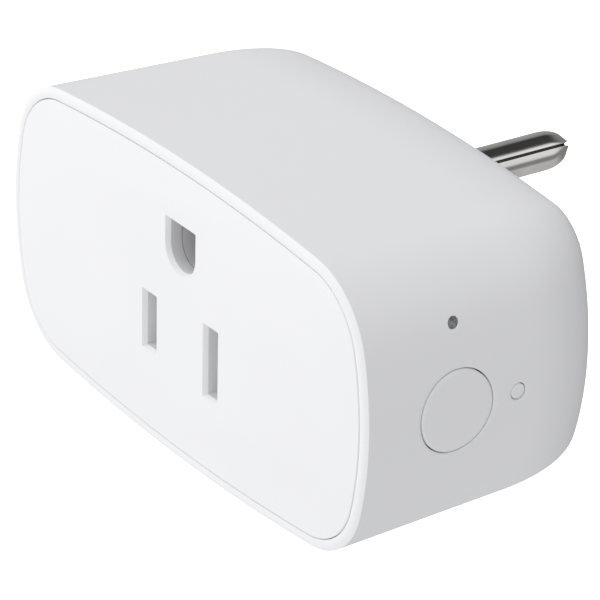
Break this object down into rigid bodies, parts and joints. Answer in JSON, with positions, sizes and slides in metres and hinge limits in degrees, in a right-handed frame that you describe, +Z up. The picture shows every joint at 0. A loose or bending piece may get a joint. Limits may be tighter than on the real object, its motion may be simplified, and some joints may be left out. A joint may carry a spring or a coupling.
{
  "type": "plug-through energy meter",
  "caption": "Plug-through energy meter: a bowed white block with one outlet in front, blades behind, and a button, reset and light on its side.",
  "frame": {"origin": "centre of the flat back face, which meets the wall plate", "axes": "+Z up, +Y out of the back face along the blades into the wall, +X to the right of someone who looks at the socket face"},
  "size_m": [0.0734, 0.0529, 0.0374],
  "materials": {
    "shell_white": "fine matte",
    "plate_white": "fine matte",
    "button_white": "satin",
    "light_lens": "smoked lens",
    "inner_plastic": "moulded, cream",
    "dark_plastic": "moulded, black",
    "grey_plastic": "moulded, grey",
    "shutter_white": "moulded, white",
    "spring_steel": "drawn wire",
    "contact_brass": "stamped sheet",
    "nickel_plate": "nickel plated",
    "screw_steel": "zinc plated",
    "board_green": "solder mask",
    "relay_blue": "moulded case",
    "copper_wire": "enamelled winding",
    "core_iron": "laminated or ferrite",
    "film_yellow": "moulded box",
    "varistor_blue": "dipped coat",
    "fuse_green": "lacquer",
    "sleeve_black": "heat-shrink sleeve",
    "tape_yellow": "polyester tape",
    "shunt_alloy": "alloy strip",
    "chip_black": "moulded epoxy",
    "shield_tin": "tinned can",
    "led_clear": "clear package"
  },
  "bodies": {
    "casing": {"housing_shell": "shell_white", "front_plate": "plate_white", "light_pipe": "light_lens", "contact_carrier": "inner_plastic", "carrier_cap": "inner_plastic", "shutter_spring": "spring_steel", "hot_contact": "contact_brass", "neutral_contact": "contact_brass", "ground_contact": "contact_brass", "hot_blade": "nickel_plate", "neutral_blade": "nickel_plate", "ground_pin": "nickel_plate", "blade_retainer": "grey_plastic", "retainer_screws": "screw_steel", "ground_strap": "contact_brass", "case_screws": "screw_steel", "main_board": "board_green", "relay_base": "dark_plastic", "relay_cover": "relay_blue", "relay_bobbin": "inner_plastic", "relay_winding": "copper_wire", "relay_yoke": "nickel_plate", "relay_terminals": "contact_brass", "film_capacitor": "film_yellow", "varistor": "varistor_blue", "fuse": "fuse_green", "electrolytic_capacitors": "sleeve_black", "inductor_core": "core_iron", "inductor_winding": "copper_wire", "transformer_core": "core_iron", "transformer_bobbin": "dark_plastic", "transformer_winding": "tape_yellow", "bridge_rectifier": "chip_black", "power_chip": "chip_black", "metering_chip": "chip_black", "current_shunt": "shunt_alloy", "small_chips": "chip_black", "control_board": "board_green", "radio_shield": "shield_tin", "antenna_trace": "contact_brass", "header_pins": "dark_plastic", "main_switch_body": "dark_plastic", "reset_switch_body": "dark_plastic", "status_led": "led_clear"},
    "button_cap": {"main_button": "button_white"},
    "switch_stem": {"main_switch_plunger": "grey_plastic"},
    "reset_cap": {"reset_button": "button_white"},
    "reset_stem": {"reset_switch_plunger": "grey_plastic"},
    "shutter_slider": {"shutter": "shutter_white"},
    "armature": {"relay_armature": "nickel_plate"}
  },
  "joints": [
    {"name": "main_button_press", "type": "slide", "parent": "casing", "child": "button_cap", "axis": [-1, 0, 0], "range_m": [0, 0.0004], "stiffness_N_per_m": 900},
    {"name": "main_switch_press", "type": "slide", "parent": "casing", "child": "switch_stem", "axis": [-1, 0, 0], "range_m": [0, 0.0004]},
    {"name": "reset_button_press", "type": "slide", "parent": "casing", "child": "reset_cap", "axis": [-1, 0, 0], "range_m": [0, 0.0003], "stiffness_N_per_m": 1200},
    {"name": "reset_switch_press", "type": "slide", "parent": "casing", "child": "reset_stem", "axis": [-1, 0, 0], "range_m": [0, 0.0003]},
    {"name": "shutter_slide", "type": "slide", "parent": "casing", "child": "shutter_slider", "axis": [1, 0, 0], "range_m": [0, 0.0028], "stiffness_N_per_m": 120, "deforming": ["shutter_spring"]},
    {"name": "relay_armature_swing", "type": "hinge", "parent": "casing", "child": "armature", "pos_m": [-0.0186, -0.0222, 0.00465], "axis": [1, 0, 0], "range_deg": [-2.4, 0], "stiffness_Nm_per_rad": 0.02}
  ],
  "couplings": [
    {"joint": "main_switch_press", "follows": "main_button_press", "ratio": 1},
    {"joint": "reset_switch_press", "follows": "reset_button_press", "ratio": 1}
  ]
}
